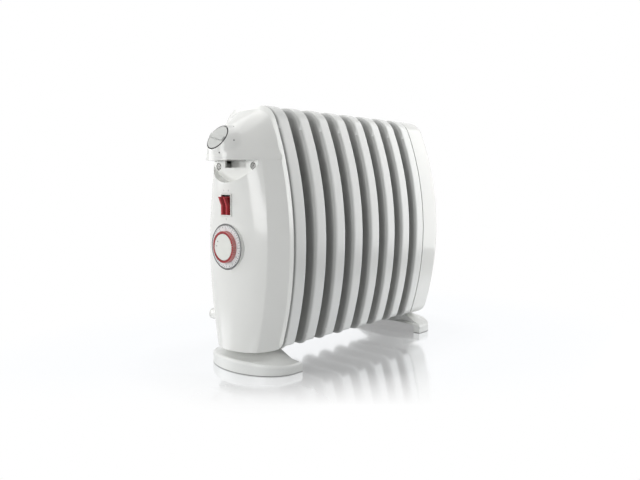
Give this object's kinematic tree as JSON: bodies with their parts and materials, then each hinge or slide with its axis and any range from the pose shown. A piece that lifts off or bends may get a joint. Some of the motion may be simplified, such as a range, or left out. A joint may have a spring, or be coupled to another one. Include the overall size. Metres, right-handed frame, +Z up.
{
  "type": "oil filled radiator heater",
  "caption": "Upright oil filled radiator with bowed pressed fins, a moulded control end with thermostat, rocker switches and timer dial, and two arched feet.",
  "frame": {"origin": "on the floor, midway along and across the heater", "axes": "+Z up, +Y along the fin stack away from the controls, +X to the right seen from the controls"},
  "size_m": [0.168, 0.444, 0.36],
  "materials": {
    "fin_enamel": "smooth white stove enamel",
    "shell_white": "glossy white moulded plastic",
    "foot_white": "glossy white moulded plastic",
    "knob_grey": "satin grey moulded plastic",
    "dial_white": "white moulded plastic with a printed scale",
    "cap_cream": "off-white moulded plastic",
    "tappet_red": "red moulded plastic",
    "rocker_red": "red translucent plastic",
    "switch_frame": "pale grey moulded plastic",
    "moulding_black": "black moulded plastic",
    "plated_steel": "bright zinc plating",
    "bare_steel": "plain galvanised sheet",
    "brass": "turned brass",
    "wire_sleeve": "silicone sleeved wire",
    "gland_rubber": "pale soft moulding"
  },
  "bodies": {
    "radiator": {"fin_1": "fin_enamel", "fin_2": "fin_enamel", "fin_3": "fin_enamel", "fin_4": "fin_enamel", "fin_5": "fin_enamel", "fin_6": "fin_enamel", "fin_7": "fin_enamel", "fin_8": "fin_enamel", "header_cap_front": "bare_steel", "header_cap_rear": "bare_steel", "oil_filler_plug": "bare_steel", "heater_plug": "brass", "heating_rod_left": "bare_steel", "heating_rod_right": "bare_steel", "front_plate": "bare_steel", "rear_plate": "bare_steel", "front_cover": "shell_white", "rear_cover": "shell_white", "cover_screws": "plated_steel", "rear_cover_screws": "plated_steel", "front_foot": "foot_white", "rear_foot": "foot_white", "foot_screws": "plated_steel", "thermostat_body": "moulding_black", "thermostat_screws": "plated_steel", "switch_housing": "switch_frame", "switch_pin": "bare_steel", "switch_terminals": "brass", "timer_body": "moulding_black", "terminal_block": "moulding_black", "thermal_cutout": "moulding_black", "wires": "wire_sleeve", "cord_gland": "gland_rubber"},
    "thermostat": {"thermostat_knob": "knob_grey", "thermostat_shaft": "brass"},
    "rocker_left": {"rocker_left": "rocker_red"},
    "rocker_right": {"rocker_right": "rocker_red"},
    "timer": {"timer_dial": "dial_white", "timer_cap": "cap_cream", "timer_spindle": "brass"},
    "tappets_1": {"timer_tappets_1": "tappet_red"},
    "tappets_2": {"timer_tappets_2": "tappet_red"},
    "tappets_3": {"timer_tappets_3": "tappet_red"},
    "tappets_4": {"timer_tappets_4": "tappet_red"}
  },
  "joints": [
    {"name": "thermostat_turn", "type": "hinge", "parent": "radiator", "child": "thermostat", "pos_m": [0, -0.21103, 0.315], "axis": [0, -0.848, 0.5299], "range_deg": [-150, 150]},
    {"name": "rocker_left_tilt", "type": "hinge", "parent": "radiator", "child": "rocker_left", "pos_m": [-0.0049, -0.19718, 0.227], "axis": [1, 0, 0], "range_deg": [-22, 0]},
    {"name": "rocker_right_tilt", "type": "hinge", "parent": "radiator", "child": "rocker_right", "pos_m": [0.0049, -0.19718, 0.227], "axis": [1, 0, 0], "range_deg": [-22, 0]},
    {"name": "timer_turn", "type": "hinge", "parent": "radiator", "child": "timer", "pos_m": [0, -0.20038, 0.171], "axis": [0, 1, 0], "continuous": true},
    {"name": "tappets_1_press", "type": "slide", "parent": "timer", "child": "tappets_1", "axis": [0, 1, 0], "range_m": [0, 0.003]},
    {"name": "tappets_2_press", "type": "slide", "parent": "timer", "child": "tappets_2", "axis": [0, 1, 0], "range_m": [0, 0.003]},
    {"name": "tappets_3_press", "type": "slide", "parent": "timer", "child": "tappets_3", "axis": [0, 1, 0], "range_m": [0, 0.003]},
    {"name": "tappets_4_press", "type": "slide", "parent": "timer", "child": "tappets_4", "axis": [0, 1, 0], "range_m": [0, 0.003]}
  ]
}
